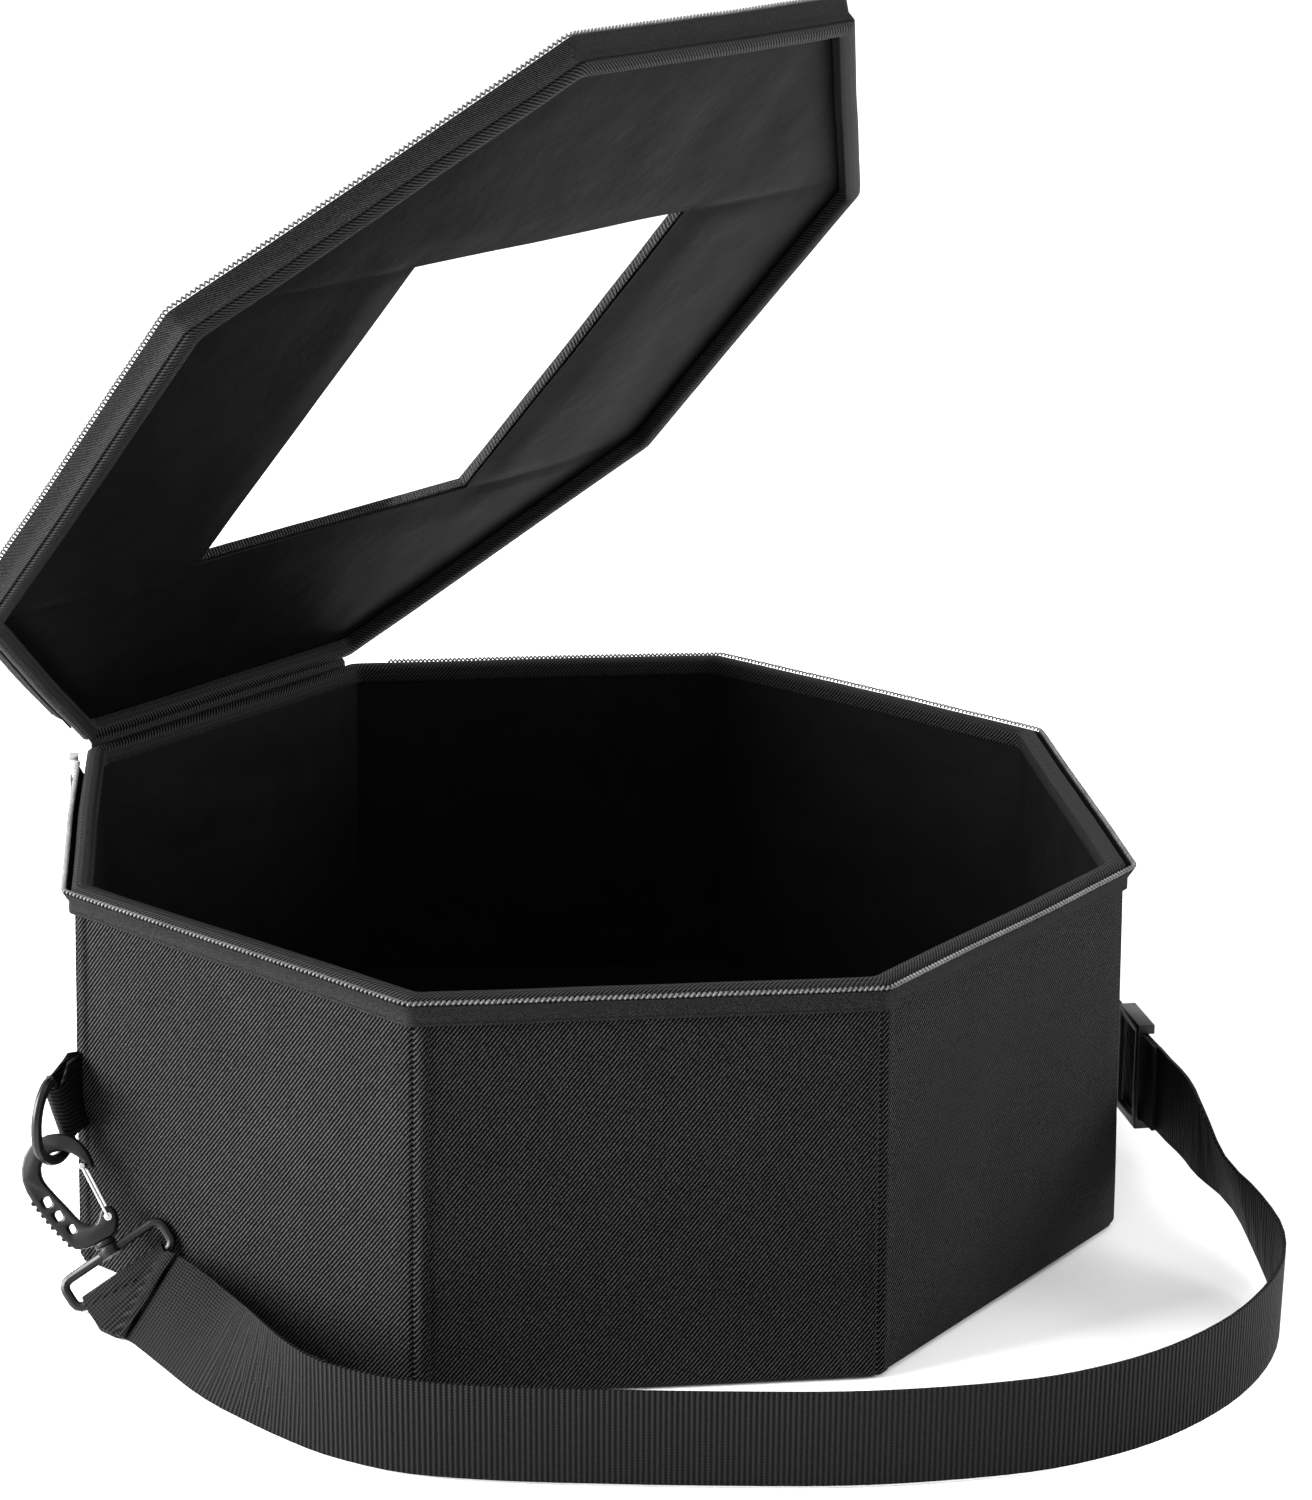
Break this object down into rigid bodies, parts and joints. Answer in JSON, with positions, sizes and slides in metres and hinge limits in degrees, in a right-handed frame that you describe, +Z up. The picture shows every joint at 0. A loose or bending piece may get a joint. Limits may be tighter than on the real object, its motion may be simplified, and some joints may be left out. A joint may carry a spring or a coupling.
{
  "type": "hat box",
  "caption": "Octagonal zip-up hat box of padded black cloth with a windowed hinged lid and a clip-on webbing shoulder strap.",
  "frame": {"origin": "centre of the base's underside, which stands on the floor", "axes": "+Z up, +Y towards the lid's hinge, +X along the hinge"},
  "size_m": [0.5261, 0.5769, 0.5153],
  "materials": {
    "black_plastic": "moulded, semi-gloss",
    "bright_metal": "polished",
    "clear_film": "clear film",
    "lining_cloth": "satin lining",
    "outer_cloth": "charcoal twill",
    "ribbed_tape": "ribbed binding tape",
    "webbing": "ribbed webbing",
    "zip_coil": "moulded coil",
    "zip_tape": "twill tape"
  },
  "bodies": {
    "box": {"base_board": "outer_cloth", "wall_left": "outer_cloth", "wall_front_left": "outer_cloth", "wall_front": "outer_cloth", "wall_front_right": "outer_cloth", "wall_right": "outer_cloth", "wall_back_right": "outer_cloth", "wall_back": "outer_cloth", "wall_back_left": "outer_cloth", "base_lining": "lining_cloth", "wall_lining": "lining_cloth", "rim_binding": "ribbed_tape", "hinge_strip_body": "ribbed_tape", "body_zipper_tape": "zip_tape", "body_zipper_coil": "zip_coil", "zipper_slider": "bright_metal", "d_ring_left": "black_plastic", "strap_tab_left": "webbing", "hook_left": "black_plastic", "hook_collar_left": "black_plastic", "hook_loop_left": "black_plastic", "d_ring_right": "black_plastic", "strap_tab_right": "webbing", "hook_right": "black_plastic", "hook_collar_right": "black_plastic", "hook_loop_right": "black_plastic", "shoulder_strap": "webbing", "strap_adjuster": "black_plastic"},
    "lid": {"lid_panel": "outer_cloth", "lid_window": "clear_film", "lid_lining": "lining_cloth", "lid_side_band": "outer_cloth", "lid_band_lining": "lining_cloth", "lid_binding": "ribbed_tape", "lid_zipper_tape": "zip_tape", "lid_zipper_coil": "zip_coil", "hinge_strip_lid": "ribbed_tape"},
    "zipper_pull": {"zipper_pull_tab": "bright_metal"},
    "gate_left": {"hook_gate_left": "bright_metal"},
    "gate_right": {"hook_gate_right": "bright_metal"}
  },
  "joints": [
    {"name": "lid_hinge", "type": "hinge", "parent": "box", "child": "lid", "pos_m": [0, 0.2236, 0.1688], "axis": [-1, 0, 0], "range_deg": [-48.4, 131.6]},
    {"name": "pull_swing", "type": "hinge", "parent": "box", "child": "zipper_pull", "pos_m": [-0.10016, 0.21718, 0.1588], "axis": [0.7071, 0.7071, 0], "range_deg": [-3, 110]},
    {"name": "gate_left_hinge", "type": "hinge", "parent": "box", "child": "gate_left", "pos_m": [-0.23234, 0.0603, 0.03638], "axis": [-0.7486, -0.5069, 0.4274], "range_deg": [0, 30], "stiffness_Nm_per_rad": 0.02},
    {"name": "gate_right_hinge", "type": "hinge", "parent": "box", "child": "gate_right", "pos_m": [0.21756, -0.12576, 0.03987], "axis": [0.7997, -0.6004, 0], "range_deg": [0, 30], "stiffness_Nm_per_rad": 0.02}
  ]
}
